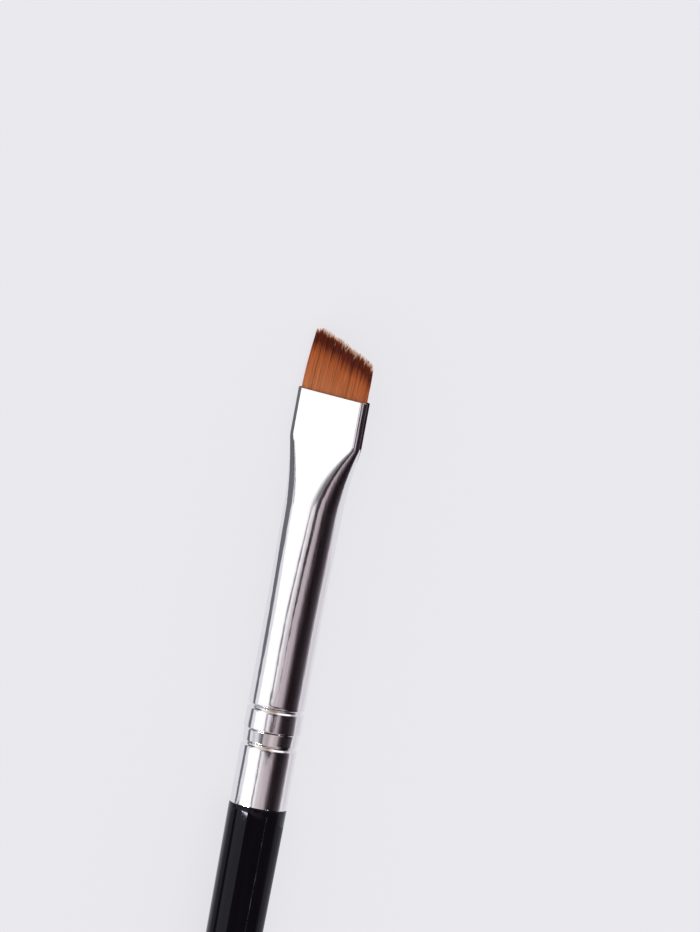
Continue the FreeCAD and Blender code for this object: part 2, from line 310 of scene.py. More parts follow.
def section_rings(heights, insets):
    """A ring of the tube at each height, inset from its skin. Points are even along the section:
    a share of the quarter's length falls first on the crowned face and then on the end, and the
    other three quarters mirror it. The crimps add their offset along the ring's own normal."""
    face, end = face_and_end_radii(half_thickness_at(heights))
    face, end = face[:, None], end[:, None]
    turn = np.linspace(0.0, 4.0, SECTION_POINTS, endpoint=False)[None, :]
    folded = np.where(turn % 2 < 1, turn % 1, 1 - turn % 1)
    length = folded * TUBE_RADIUS * math.pi / 2
    on_face = length < face * FACE_CROWN
    angle = np.where(on_face, length / face, FACE_CROWN + (length - face * FACE_CROWN) / end)
    centre_x = np.where(on_face, 0.0, (face - end) * math.sin(FACE_CROWN))
    centre_z = np.where(on_face, (end - face) * math.cos(FACE_CROWN), 0.0)
    radius = np.where(on_face, face, end) + (crimp_offset(heights) - insets)[:, None]
    x = (centre_x + radius * np.sin(angle)) * np.where(turn < 2, 1, -1)
    z = (centre_z + radius * np.cos(angle)) * np.where((turn >= 1) & (turn < 3), -1, 1)
    return np.stack(np.broadcast_arrays(x, heights[:, None], z), axis=-1)


def ferrule_rings():
    """The outer skin from the handle to the mouth and the bore back again, with both cut ends
    slightly rounded. Each ring is first a height and an inset from the skin."""
    turn = np.radians(np.linspace(0, 90, CUT_EDGE_RINGS))
    rounding = CUT_EDGE_ROUND * (1 - np.stack([np.sin(turn), np.cos(turn)], axis=1))
    outer = np.concatenate([np.linspace(*span) for span in OUTER_SPANS])
    bore = np.linspace(FERRULE_LENGTH - BORE_MARGIN, BORE_MARGIN, BORE_RINGS)
    bore = [FERRULE_LENGTH, FERRULE_LENGTH - EDGE_GUARD, *bore, EDGE_GUARD, 0.0]
    rings = np.concatenate([
        [(0.0, CUT_EDGE_ROUND + EDGE_GUARD)],
        rounding[::-1],
        [(height, 0.0) for height in outer],
        (FERRULE_LENGTH, 0.0) + rounding * (-1, 1),
        [(FERRULE_LENGTH, CUT_EDGE_ROUND + EDGE_GUARD)],
        [(height, TUBE_WALL) for height in bore],
    ])
    return section_rings(rings[:, 0], rings[:, 1])


def aluminium_material():
    """Polished aluminium, drawn lengthwise: a mirror with a slight haze and fine lines along the
    tube. Shallow ripples from the dies and rolls make the edges of its reflections run ragged."""
    material, tree = new_material("drawn_polished_aluminium")
    place = add_node(tree, "ShaderNodeTexCoord").outputs["Object"]
    lines = stretched_noise(tree, place, across=0.14, along=3.5, detail=2.0, roughness=0.5)
    ripples = stretched_noise(tree, place, across=0.5, along=2.2, detail=2.0, roughness=0.55)
    rippled = add_node(tree, "ShaderNodeBump", {"Strength": 1.0, "Distance": 0.009 * MM}, {"Height": ripples})
    lined = add_node(tree, "ShaderNodeBump", {"Strength": 1.0, "Distance": 0.002 * MM},
                     {"Height": lines, "Normal": rippled.outputs[0]})
    haze = add_node(tree, "ShaderNodeMapRange",
                    {"From Min": 0.3, "From Max": 0.7, "To Min": 0.06, "To Max": 0.13}, {"Value": lines})
    shader = add_node(tree, "ShaderNodeBsdfPrincipled", {"Base Color": linear("#EEEDF0"), "Metallic": 1.0},
                      {"Roughness": haze.outputs[0], "Normal": lined.outputs[0]})
    finish_material(tree, shader)
    return material


rings = ferrule_rings()
ferrule = closed_piece("crimped_ferrule", laid_down(rings.reshape(-1, 3)),
                       tube_faces(len(rings), SECTION_POINTS, ends_meet=True), aluminium_material())
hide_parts("ferrule")
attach(ferrule, "root")

# Glue plug: epoxy poured round the roots of the tuft, where it sets to a clear amber block inside
# the ferrule. It keeps the CAD solid's shape, because the tube hides it.


def set_glue_material():
    """Set epoxy: clear amber and glossy, with small bubbles and cloudy patches."""
    material, tree = new_material("poured_amber_epoxy")
    place = add_node(tree, "ShaderNodeTexCoord").outputs["Object"]
    cloud = add_node(tree, "ShaderNodeTexNoise", {"Scale": 1 / (1.5 * MM), "Detail": 3.0}, {"Vector": place})
    bubbles = add_node(tree, "ShaderNodeTexVoronoi", {"Scale": 1 / (0.6 * MM)}, {"Vector": place})
    tone = add_node(tree, "ShaderNodeValToRGB", links={"Fac": cloud.outputs["Fac"]})
    set_ramp(tone, [(0.3, "#A8742E"), (0.7, "#CDA15C")])
    skin = add_node(tree, "ShaderNodeBump", {"Strength": 0.3, "Distance": 0.03 * MM},
                    {"Height": bubbles.outputs["Distance"]})
    shader = add_node(tree, "ShaderNodeBsdfPrincipled", {"Roughness": 0.18, "IOR": 1.55},
                      {"Base Color": tone.outputs[0], "Normal": skin.outputs[0]})
    finish_material(tree, shader)
    return material


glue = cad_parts["glue_plug"]
glue.data.materials.clear()
glue.data.materials.append(set_glue_material())

# Bristle tuft: tapered nylon filaments, set parallel in the glue and squeezed flat by the mouth.
# They are cut on a slant, so that one corner stands long, and part into locks towards the tips.
# The tips are drawn out thin and undyed, over a dark dyed band and a chestnut body.

TUFT_ROOT = 30.5
FILAMENT_SPACING = 0.072
PACKING_UNEVENNESS = 0.1 * FILAMENT_SPACING
FILAMENT_RADIUS = 0.043
FILAMENT_SIDES = 3
# How far a filament may be turned about its own line, in radians
FILAMENT_TURN = 0.35
# The share of the free length where a filament starts to thin, and the share of its radius left
TAPER_START = 0.35
TIP_RADIUS_SHARE = 0.22
# Where the centre lines have points: heights in the tube, and shares of the free length
TUBE_STATIONS = np.array([TUFT_ROOT, 34.0, 37.0, 38.6, 42.0])
FREE_STATIONS = np.array([0.0, 0.22, 0.45, 0.66, 0.82, 0.92, 1.0])
# The tuft at its tip: its width and depth as shares of those in the mouth, and its lean sideways
TIP_NARROWING = 0.976
TIP_THINNING = 0.4875
TIP_LEAN = 0.225
# Locks: the places across the mouth where they part, and how far each draws in at its tips
LOCK_EDGES = np.array([-3.15, -2.83, -2.6, -1.98, -1.4, -0.86, -0.3, 0.3, 0.86, 1.24, 1.62, 2.3, 2.86])
LOCK_PULL = 0.26
LOCK_PULL_SPREAD = (0.3, 1.4)
# Wisps: small bunches that cling together, in ragged columns of blocks, and how far they draw in
WISP_WIDTH = 0.15
WISP_DEPTH = 0.5
WISP_RAGGEDNESS = 0.35
WISP_PULL = (0.3, 0.9)
# The spread of chance shifts: of a whole wisp, of a tip through the tuft, and of a filament's bow
STRAY = 0.02
# How shifts and the taper grow along the free length: powers of its share
LEAN_CURVE, LOCK_CURVE, WISP_CURVE, TAPER_CURVE = 1.2, 2.2, 3.0, 1.3
# The slanted cut: place across the tuft, and height above the mouth
CUT_LINE = np.array([
    (-3.55, 5.9), (-3.46, 6.12), (-3.3, 6.26), (-3.0, 6.32), (-2.43, 6.3), (-1.85, 6.2),
    (-1.0, 5.96), (-0.45, 5.72), (0.13, 5.5), (0.71, 5.3), (1.29, 5.07), (1.87, 4.85),
    (2.45, 4.61), (3.03, 4.34), (3.4, 4.16), (3.75, 3.9), (3.95, 3.5),
])
# Filaments may pass that line by this allowance, up to the longest. From there each falls short by
# chance: these are the means for its column, its wisp and itself. A lock's edges fall short too.
CUT_ALLOWANCE = 0.12
LONGEST = 6.33
COLUMN_LOSS, WISP_LOSS, FILAMENT_LOSS = 0.15, 0.09, 0.08
LOCK_EDGE_LOSS = 1.2
# Dye, from 0 for dark to 1 for pale: its middle, its change across the tuft, and its spreads
DYE_MIDDLE = 0.52
DYE_SLOPE = -0.008
FILAMENT_DYE_SPREAD, WISP_DYE_SPREAD, LOCK_DYE_SPREAD = 0.09, 0.06, 0.06
DARK_WISP_SHARE = 0.05
DARK_WISP_CHANGE = -0.2
# The short corner's outermost filaments are darker: from where, over what width, and the change
DARK_CORNER_START, DARK_CORNER_WIDTH, DARK_CORNER_CHANGE = 3.3, 0.3, -0.25
# Streaks across the tuft: place across it, half width, and change. The two dark ones, on lock edges, are
# painted shade in the gaps between locks, and the others are paler streaks
STREAKS_AND_GAP_SHADE = [(-3.15, 0.12, 0.3), (-1.95, 0.05, -0.45), (-1.3, 0.25, 0.1), (1.56, 0.07, -0.75), (2.95, 0.1, 0.2)]
# The dye's bands are laid out over this length from the tip. A pale filament's bands stand nearer
# the tip, by up to this shift.
BAND_LENGTH = 6.25
BAND_SHIFT = 0.5


def section_half_depth(heights, x):
    """Half the depth of the space inside the tube, at a place across it and a height."""
    face, end = face_and_end_radii(half_thickness_at(heights))
    reach = (face - end) * math.sin(FACE_CROWN)
    face_radius, end_radius = face - FILLING_INSET, end - FILLING_INSET
    on_face = np.sqrt(np.maximum(face_radius ** 2 - x ** 2, 0.0)) - (face - end) * math.cos(FACE_CROWN)
    on_end = np.sqrt(np.maximum(end_radius ** 2 - np.maximum(np.abs(x) - reach, 0.0) ** 2, 0.0))
    return np.where(np.abs(x) < face_radius * math.sin(FACE_CROWN), on_face, on_end)


def section_half_width(heights):
    """Half the width of the space inside the tube."""
    face, end = face_and_end_radii(half_thickness_at(heights))
    return (face - end) * math.sin(FACE_CROWN) + end - FILLING_INSET


def rooted_places(random):
    """Where the filaments pass the mouth: a hexagonal pack with a little unevenness, kept inside
    the pressed section. Given as shares of the half width and of the half depth there."""
    half_width = section_half_width(np.array([FERRULE_LENGTH]))[0]
    row_step = FILAMENT_SPACING * math.sqrt(3) / 2
    across = np.arange(-half_width, half_width, FILAMENT_SPACING)
    rows = np.arange(-MOUTH_HALF_THICKNESS, MOUTH_HALF_THICKNESS, row_step)
    x, z = np.meshgrid(across, rows)
    x = x + FILAMENT_SPACING / 2 * (np.arange(len(rows)) % 2)[:, None]
    x = (x + random.normal(0, PACKING_UNEVENNESS, x.shape)).ravel()
    z = (z + random.normal(0, PACKING_UNEVENNESS, z.shape)).ravel()
    depth = section_half_depth(np.full(x.shape, FERRULE_LENGTH), x)
    inside = (np.abs(x) < half_width - FILAMENT_RADIUS) & (np.abs(z) < depth - FILAMENT_RADIUS)
    return x[inside] / half_width, z[inside] / depth[inside]


def group_middles(places, group):
    """For each filament, the mean place of its group."""
    return (np.bincount(group, places) / np.bincount(group))[group]


def bunches(random, mouth_x, mouth_z):
    """The lock, the column of wisps and the wisp of each filament, as numbers from 0. A wisp is
    known by its column and its row, and ten numbers are kept for the rows of a column."""
    lock = np.searchsorted(LOCK_EDGES, mouth_x)
    raggedness = random.uniform(-WISP_RAGGEDNESS, WISP_RAGGEDNESS, len(mouth_x))
    column = np.floor(mouth_x / WISP_WIDTH + raggedness).astype(int)
    column -= column.min()
    row = np.floor(mouth_z / WISP_DEPTH + 0.5).astype(int)
    return lock, column, np.unique(column * 10 + row, return_inverse=True)[1]


def side_pulls(random, mouth_x, lock, wisp):
    """How far each tip is drawn sideways: by its lock, a share of the way to the lock's middle, and
    by its wisp in the same way, with a chance shift of the whole wisp."""
    lock_share = LOCK_PULL * random.uniform(*LOCK_PULL_SPREAD, len(LOCK_EDGES) + 1)[lock]
    wisp_share = random.uniform(*WISP_PULL, wisp.max() + 1)[wisp]
    stray = random.normal(0, STRAY, wisp.max() + 1)[wisp]
    to_lock, to_wisp = group_middles(mouth_x, lock) - mouth_x, group_middles(mouth_x, wisp) - mouth_x
    return lock_share * to_lock, wisp_share * to_wisp + stray


def free_lengths(random, tip_x, lock_pull, column, wisp):
    """How far the filaments stand out of the mouth: up to the slanted cut, less what the edge of a
    lock loses, and less an exponential chance loss of the column, the wisp and the filament."""
    cut = np.interp(tip_x, CUT_LINE[:, 0], CUT_LINE[:, 1]) + CUT_ALLOWANCE
    loss = np.abs(lock_pull) * LOCK_EDGE_LOSS
    loss += random.exponential(COLUMN_LOSS, column.max() + 1)[column]
    loss += random.exponential(WISP_LOSS, wisp.max() + 1)[wisp]
    loss += random.exponential(FILAMENT_LOSS, len(tip_x))
    return np.minimum(cut - loss, LONGEST)


def dye_and_gap_shade_shares(random, mouth_x, lock, wisp):
    """Each filament's dye share: a middle that changes a little across the tuft, normal spreads for the
    wisp, the filament and the lock, a few dark wisps, the dark corner and the streaks. The dark
    streaks on two lock edges are painted shade in the gaps between locks."""
    is_dark = random.random(wisp.max() + 1) < DARK_WISP_SHARE
    wisp_change = random.normal(0, WISP_DYE_SPREAD, wisp.max() + 1)
    dye_and_gap_shade = DYE_MIDDLE + DYE_SLOPE * mouth_x + np.where(is_dark, DARK_WISP_CHANGE, wisp_change)[wisp]
    dye_and_gap_shade += random.normal(0, FILAMENT_DYE_SPREAD, len(mouth_x))
    dye_and_gap_shade += random.normal(0, LOCK_DYE_SPREAD, len(LOCK_EDGES) + 1)[lock]
    dye_and_gap_shade += DARK_CORNER_CHANGE * np.clip((mouth_x - DARK_CORNER_START) / DARK_CORNER_WIDTH, 0.0, 1.0)
    # The streaks; the dark ones on lock edges are painted shade in the gaps between locks
    for middle, half_width, change in STREAKS_AND_GAP_SHADE:
        dye_and_gap_shade += change * np.exp(-((mouth_x - middle) / half_width) ** 2)
    return np.clip(dye_and_gap_shade, 0.0, 1.0)


def filament_lines(random):
    """Centre line of each filament, its radius, its distance to its own tip, and its dye share, which
    also carries painted shade in the gaps between locks. In the tube it keeps its share of the
    section. Past the mouth it leans with the tuft, thins towards the flat tip, bows a little, and is
    drawn towards the middles of its lock and of its wisp."""
    share_x, share_z = rooted_places(random)
    count = len(share_x)
    mouth_x = share_x * section_half_width(np.array([FERRULE_LENGTH]))[0]
    mouth_z = share_z * section_half_depth(np.full(count, FERRULE_LENGTH), mouth_x)
    lock, column, wisp = bunches(random, mouth_x, mouth_z)
    lock_pull, wisp_pull = side_pulls(random, mouth_x, lock, wisp)
    lean_x = mouth_x * TIP_NARROWING + TIP_LEAN
    length = free_lengths(random, lean_x + lock_pull + wisp_pull, lock_pull, column, wisp)
    tip_z = mouth_z * TIP_THINNING + random.normal(0, STRAY, count)
    bow = np.sin(FREE_STATIONS * math.pi) * random.normal(0, STRAY, count)[:, None]

    tube_y = np.broadcast_to(TUBE_STATIONS, (count, len(TUBE_STATIONS)))
    tube_x = share_x[:, None] * section_half_width(TUBE_STATIONS)
    tube_z = share_z[:, None] * section_half_depth(tube_y, tube_x)
    leaned = FREE_STATIONS ** LEAN_CURVE
    pulled = FREE_STATIONS ** LOCK_CURVE * lock_pull[:, None]
    pulled += FREE_STATIONS ** WISP_CURVE * wisp_pull[:, None]
    free_x = mouth_x[:, None] + leaned * (lean_x - mouth_x)[:, None] + pulled + bow
    free_y = FERRULE_LENGTH + FREE_STATIONS * length[:, None]
    free_z = mouth_z[:, None] + leaned * (tip_z - mouth_z)[:, None]
    in_tube = np.stack([tube_x, tube_y, tube_z], axis=-1)
    lines = np.concatenate([in_tube, np.stack([free_x, free_y, free_z], axis=-1)], axis=1)

    taper = np.clip((FREE_STATIONS - TAPER_START) / (1 - TAPER_START), 0.0, 1.0) ** TAPER_CURVE
    free_share = 1 - (1 - TIP_RADIUS_SHARE) * taper
    radius = FILAMENT_RADIUS * np.concatenate([np.ones(len(TUBE_STATIONS)), free_share])
    from_tip = lines[:, -1:, 1] - lines[:, :, 1]
    return lines, radius, from_tip, dye_and_gap_shade_shares(random, mouth_x, lock, wisp)


def filament_mesh(random):
    """Three-sided tapered rods round the centre lines, each closed at both ends by a triangle, with
    the distance to the tip and the dye share, painted gap shade included, as attributes of the
    points. All faces point outwards."""
    lines, radius, from_tip, dye_and_gap_shade = filament_lines(random)
    count, stations = lines.shape[:2]
    corners = np.arange(FILAMENT_SIDES)
    turn = random.uniform(-FILAMENT_TURN, FILAMENT_TURN, count)
    angles = turn[:, None] + corners * 2 * math.pi / FILAMENT_SIDES
    ring = np.stack([np.cos(angles), np.zeros_like(angles), np.sin(angles)], axis=-1)
    points = lines[:, :, None, :] + radius[None, :, None, None] * ring[:, None, :, :]
    first = np.arange(count)[:, None] * stations * FILAMENT_SIDES
    sides = tube_faces(stations, FILAMENT_SIDES)[None, :, ::-1] + first[:, :, None]
    roots = first + corners
    tips = first + (stations - 1) * FILAMENT_SIDES + corners[::-1]
    spread = (count, stations, FILAMENT_SIDES)
    attributes = {
        "from_tip": np.broadcast_to(from_tip[:, :, None], spread).ravel(),
        "dye_and_gap_shade": np.broadcast_to(dye_and_gap_shade[:, None, None], spread).ravel(),
    }
    return points.reshape(-1, 3), sides.reshape(-1, 4).tolist() + roots.tolist() + tips.tolist(), attributes


def filament_material():
    """Dyed nylon: chestnut, with a dark band near the end and an undyed, thin, almost clear tip. It
    has a soft sheen along the filament, and each filament takes the dye a little differently."""
    material, tree = new_material("dyed_tapered_nylon")
    from_tip = add_node(tree, "ShaderNodeAttribute", attribute_name="from_tip").outputs["Fac"]
    # The dye share holds the filament's dye and the painted shade in the gaps between locks
    dye_and_gap_shade = add_node(tree, "ShaderNodeAttribute", attribute_name="dye_and_gap_shade").outputs["Fac"]
    uneven = add_node(tree, "ShaderNodeMath", {1: BAND_SHIFT}, {0: dye_and_gap_shade}, operation="MULTIPLY")
    shifted = add_node(tree, "ShaderNodeMath", links={0: from_tip, 1: uneven.outputs[0]}, operation="ADD")
    share = add_node(tree, "ShaderNodeMapRange", {"From Min": 0.0, "From Max": BAND_LENGTH},
                     {"Value": shifted.outputs[0]})
    tone = add_node(tree, "ShaderNodeValToRGB", links={"Fac": share.outputs[0]})
    set_ramp(tone, [
        (0.045, "#FFE9DA"), (0.062, "#EDBC9A"), (0.084, "#9C5028"), (0.12, "#702608"), (0.24, "#6C2006"),
        (0.33, "#9C4A1C"), (0.44, "#C0642E"), (0.7, "#C4703E"), (1.0, "#CC7C4C"),
    ])
    light = add_node(tree, "ShaderNodeMapRange", {"To Min": 0.7, "To Max": 1.3}, {"Value": dye_and_gap_shade})
    shaded = add_node(tree, "ShaderNodeVectorMath", links={0: tone.outputs[0], 1: light.outputs[0]},
                      operation="MULTIPLY")
    shader = add_node(tree, "ShaderNodeBsdfPrincipled",
                      {"Roughness": 0.42, "IOR": 1.53, "Specular IOR Level": 0.35},
                      {"Base Color": shaded.outputs[0]})
    finish_material(tree, shader)
    return material


tuft_points, tuft_faces, tuft_attributes = filament_mesh(np.random.default_rng(7))
tuft = new_piece("filament_tuft", laid_down(tuft_points).tolist(), tuft_faces, filament_material())
for name, values in tuft_attributes.items():
    attribute = tuft.data.attributes.new(name, "FLOAT", "POINT")
    attribute.data.foreach_set("value", values.astype(np.float32))
tuft.data.update()
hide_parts("bristle_tuft")
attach(tuft, "root")

# Studio: a pale floor that the brush lies on, and a tent of soft light whose panels the bright
# metal mirrors: a wide white softbox on the left, a warm grey ceiling and a black flag on the right.
# Small cards, walls and lamps, which only mirrors see, edge and break those reflections.

FLOOR = [(-4000, -4000), (4000, -4000), (4000, 4000), (-4000, 4000)]
FLOOR_COLOUR = "#EAE9EE"
FLOOR_GLOW = 0.85
EVEN_LIGHT = 1.0
PANEL_LIGHT = 1.2
# What the tent shows to a mirror is rows of panels, each given by its angle from straight up, left
# to right, and its colour. The side row is level with the brush, and the plain tube mirrors it.
SIDE_PANELS = [
    (-90, "#FFFFFF"), (-66, "#FFFFFF"), (-50, "#FFFFFF"), (-44, "#F4F2F4"), (-41, "#7E797C"),
    (-37.5, "#7E797C"), (-34, "#F4F2F4"), (-29, "#E4DFE2"), (-25, "#C8C1C4"), (-15, "#C3B9BC"),
    (-4, "#B3A8AB"), (4, "#B1A5A8"), (9, "#A09498"), (15, "#6C6165"), (21, "#42373B"), (28, "#1F1519"),
    (37, "#130B0E"), (48, "#181014"), (57, "#231D21"), (65, "#383034"), (73, "#484046"), (80, "#6C656B"),
    (86, "#9A939A"), (90, "#B4ADB4"),
]
# The swollen barrel between the crimps looks a little further towards the tip, and mirrors this
MID_PANELS = [
    (-90, "#FFFFFF"), (-66, "#FFFFFF"), (-50, "#FFFFFF"), (-44, "#E4E2E4"), (-40, "#9A9698"),
    (-34, "#E4DFE2"), (-26, "#E4DFE2"), (-22, "#A89EA1"), (-20, "#0C090A"), (-2, "#0C090A"),
    (2, "#A0969A"), (4, "#A79C9F"), (9, "#A09498"), (15, "#71666A"), (21, "#4A3F43"), (28, "#2A2024"),
    (57, "#262024"), (73, "#484046"), (86, "#9A939A"),
]
# The pressed part looks up past the tip
FAR_PANELS = [
    (-90, "#8A888E"), (-87, "#8E8C92"), (-83, "#FFFFFF"), (-56, "#FFFFFF"), (-50, "#F1EFF0"),
    (-44, "#D5D3D5"), (-38, "#AFADAF"), (-32, "#868485"), (-26, "#757273"), (-9, "#6A6566"),
    (-3, "#5A5254"), (2, "#8C8184"), (6, "#A79C9F"), (9, "#A09498"), (15, "#71666A"), (28, "#2A2024"),
    (57, "#2D2428"), (73, "#484046"), (86, "#9A939A"),
]
# The neck below the barrel looks back over the handle
NEAR_PANELS = [
    (-90, "#ACAAAD"), (-81, "#C5C3C8"), (-72, "#D3D0D5"), (-65, "#CCCACD"), (-60, "#AAA8AB"),
    (-54, "#6B696D"), (-48, "#525053"), (-42, "#6C696B"), (-37, "#B7B0B3"), (-30, "#A69EA0"),
    (-18, "#A49A9A"), (-10, "#C6BBBC"), (0, "#C6B9BA"), (12, "#A99B9D"),
]
# The ends of the tent, past the tip and behind the butt
END_PANELS = [
    (-90, "#E8E4E6"), (-60, "#CFC6BE"), (-12, "#A8937E"), (4, "#DDD3CA"), (26, "#FFFFFF"),
    (80, "#FFFFFF"), (87, "#3A3236"),
]
FOOT_PANELS = [(-90, "#B6ACA4"), (-20, "#8B7B6F"), (30, "#796B60"), (60, "#483F3A")]
# Where each row takes over: how far along the brush a direction points, from -1 for straight back
# to 1 for straight ahead, where the row starts to show and where it shows fully
MID_ROW = (-0.098, -0.084)
FAR_ROW = (-0.055, -0.03)
NEAR_ROW = (-0.19, -0.235)
END_ROW = (0.6, 0.75)
FOOT_ROW = (-0.5, -0.7)
# The near row is on the left only, and fades out between these angles from straight up, in radians
NEAR_SIDE = (0.25, 0.0)
# The plain tube looks this far along. Behind that, the side row slides to the right by this much
# for each step back, because the black flag's edge is slanted.
TUBE_ALONG = -0.127
FLAG_SLIDE = 1.2
# Cards that lie on the floor, as outlines from above in the frame that the brush lies in. The foot
# card shows as a thin line on the round tube and widens beside the pressed part. On the right are a
# pale card beside the tube and a black one beside the mouth.
CARD_HEIGHT = 0.02
FOOT_CARD = [
    (-9.2, 33.9), (-9.2, 45), (-7.2, 58), (-6.2, 66), (-2.7, 74), (-2.7, 120), (-66, 120), (-66, 74),
    (-50, 68), (-30, 64), (-19.5, 58), (-17.1, 45), (-17.1, 33.9),
]
RIGHT_CARD = [(10, 33.9), (300, 33.9), (300, 60), (10, 60)]
MOUTH_CARD = [(0.5, 71), (200, 71), (200, 88), (0.5, 88)]
# Beside the handle they are pale close by, and black further left
HANDLE_CARD = [(-17.5, -200), (-17.5, 33.2), (-60, 27.8), (-60, -200)]
HANDLE_LEFT_CARD = [(-7.0, -200), (-7.0, 33.8), (-17.5, 33.2), (-17.5, -200)]
HANDLE_RIGHT_CARD = [(3.6, -200), (300, -200), (300, -5), (60, 26), (3.6, 33.4)]
# Two low walls beside the mouth: place across, from and to along the brush, and height
LEFT_WALL = (-12.0, 71.0, 120.0, 2.0)
RIGHT_WALL = (12.0, 71.5, 95.0, 7.5)
# A black flag close over the handle keeps the lacquer dark, and shows a little in the crimps
HANDLE_FLAG = [(-9.6, -110), (42, -110), (42, 29.8), (10, 33.2), (-9.6, 33.6)]
HANDLE_FLAG_HEIGHT = 14.0
# A slit lets light past the flag, as a thin streak with brighter spots: place along the brush, and
# half width. A small bare lamp beside the shoulder gives the rim its glint.
LAMP_HEIGHT = 13.9
HANDLE_SLIT = [
    (-110, 0.03), (14, 0.02), (23.4, 0.05), (24.2, 0.22), (25.0, 0.06), (26.3, 0.04), (26.9, 0.18),
    (27.6, 0.05), (30.0, 0.03), (30.5, 0.13), (31.0, 0.03), (32.6, 0.04), (33.2, 0.14), (33.4, 0.02),
]
HANDLE_SLIT_MIDDLE = 5.9
SLIT_LIGHT = 8.0
GLINT_LAMP = [(-30, 31.4), (-10, 33.3), (-9.8, 32.9), (-30, 31.0)]
GLINT_LIGHT = 75.0
# High up, a beam darkens a stripe of the ceiling's reflection, and a flag its right side
BEAM = [
    (-66, 7), (-48, 15), (-34, 26), (-26, 34), (-18, 44), (-13, 60), (-13, 260), (-89, 260), (-89, 60),
    (-94, 44), (-104, 34), (-108, 26), (-84, 15), (-70, 7),
]
SIDE_FLAG = [(84, 18), (300, 18), (300, 260), (84, 260)]
BEAM_HEIGHT = 300.0
# A painted clamp of the stand, over the shoulder, darkens the tube at the crimps and beside them
CLAMP = [(-54, 36.4), (30, 36.4), (6, 33.4), (-6, 32.6), (-16, 32.6), (-30, 33.4)]
CLAMP_HEIGHT = 63.0


def calculated(tree, operation, first, second):
    """One step of arithmetic. Each of its terms is a number or a socket."""
    terms = {0: first, 1: second}
    values = {place: term for place, term in terms.items() if isinstance(term, (int, float))}
    links = {place: term for place, term in terms.items() if place not in values}
    return add_node(tree, "ShaderNodeMath", values, links, operation=operation).outputs[0]


def mixed_shader(tree, share, under, over):
    """One shader mixed over another by a share."""
    links = {0: share, 1: under.outputs[0], 2: over.outputs[0]}
    return add_node(tree, "ShaderNodeMixShader", links=links)


def floor_material():
    """Matt pale card, with a tooth too fine to see. To the camera and to mirrors it glows a little
    with its own colour, which softens the brush's shadow as a lit table does."""
    material, tree = new_material("pale_lit_table")
    place = add_node(tree, "ShaderNodeTexCoord").outputs["Object"]
    tooth = add_node(tree, "ShaderNodeTexNoise", {"Scale": 1 / (0.4 * MM), "Detail": 2.0}, {"Vector": place})
    bump = add_node(tree, "ShaderNodeBump", {"Strength": 0.05, "Distance": 0.01 * MM},
                    {"Height": tooth.outputs["Fac"]})
    matt = add_node(tree, "ShaderNodeBsdfDiffuse", {"Color": linear(FLOOR_COLOUR)},
                    {"Normal": bump.outputs[0]})
    glow = add_node(tree, "ShaderNodeEmission", {"Color": linear(FLOOR_COLOUR), "Strength": 1.0})
    rays = add_node(tree, "ShaderNodeLightPath").outputs
    seen = calculated(tree, "MAXIMUM", rays["Is Camera Ray"], rays["Is Glossy Ray"])
    share = calculated(tree, "MULTIPLY", seen, FLOOR_GLOW)
    finish_material(tree, mixed_shader(tree, share, matt, glow))
    return material


def card_material(name, colour):
    """Matt painted card."""
    material, tree = new_material(name)
    finish_material(tree, add_node(tree, "ShaderNodeBsdfDiffuse", {"Color": linear(colour)}))
    return material


def lit_material(name, strength):
    """A bare white diffuser with a lamp behind it."""
    material, tree = new_material(name)
    values = {"Color": linear("#FFFFFF"), "Strength": strength}
    finish_material(tree, add_node(tree, "ShaderNodeEmission", values))
    return material


def sheet(name, corners, material):
    """A flat sheet of the studio, from its corners in millimetres."""
    piece = new_piece(name, (np.array(corners) * MM).tolist(), [list(range(len(corners)))], material)
    return piece


def level(outline, height):
    """The corners of a level sheet."""
    return [(x, y, height) for x, y in outline]


def upright(x, first, last, height):
    """The corners of a wall that stands along the brush."""
    return [(x, first, 0.0), (x, last, 0.0), (x, last, height), (x, first, height)]


def mirrored_card(name, corners, material):
    """A card that shows only in reflections, and neither hides nor shades anything."""
    card = sheet(name, corners, material)
    card.visible_camera = False
    card.visible_diffuse = False
    card.visible_shadow = False


sheet("floor", level(FLOOR, 0.0), floor_material())
grey_card = card_material("grey_card", "#747277")
black_cloth = card_material("black_flag_cloth", "#0C0B0D")
pale_grey_card = card_material("pale_grey_card", "#BDBCC1")
mirrored_card("foot_card", level(FOOT_CARD, CARD_HEIGHT), grey_card)
mirrored_card("left_wall", upright(*LEFT_WALL), grey_card)
mirrored_card("right_wall", upright(*RIGHT_WALL), card_material("brown_felt", "#2F262A"))
mirrored_card("right_card", level(RIGHT_CARD, CARD_HEIGHT), card_material("mauve_card", "#E0DBE0"))
mirrored_card("mouth_card", level(MOUTH_CARD, CARD_HEIGHT), black_cloth)
mirrored_card("handle_card", level(HANDLE_CARD, CARD_HEIGHT), black_cloth)
mirrored_card("handle_left_card", level(HANDLE_LEFT_CARD, CARD_HEIGHT), pale_grey_card)
mirrored_card("handle_right_card", level(HANDLE_RIGHT_CARD, CARD_HEIGHT), pale_grey_card)
mirrored_card("handle_flag", level(HANDLE_FLAG, HANDLE_FLAG_HEIGHT), black_cloth)
slit_outline = [(HANDLE_SLIT_MIDDLE + half, y) for y, half in HANDLE_SLIT]
slit_outline += [(HANDLE_SLIT_MIDDLE - half, y) for y, half in reversed(HANDLE_SLIT)]
mirrored_card("handle_slit", level(slit_outline, LAMP_HEIGHT), lit_material("slit_diffuser", SLIT_LIGHT))
mirrored_card("glint_lamp", level(GLINT_LAMP, LAMP_HEIGHT), lit_material("bare_lamp", GLINT_LIGHT))
mirrored_card("ceiling_beam", level(BEAM, BEAM_HEIGHT), card_material("dark_painted_beam", "#443B3F"))
mirrored_card("side_flag", level(SIDE_FLAG, BEAM_HEIGHT), card_material("brown_flag", "#2C2226"))
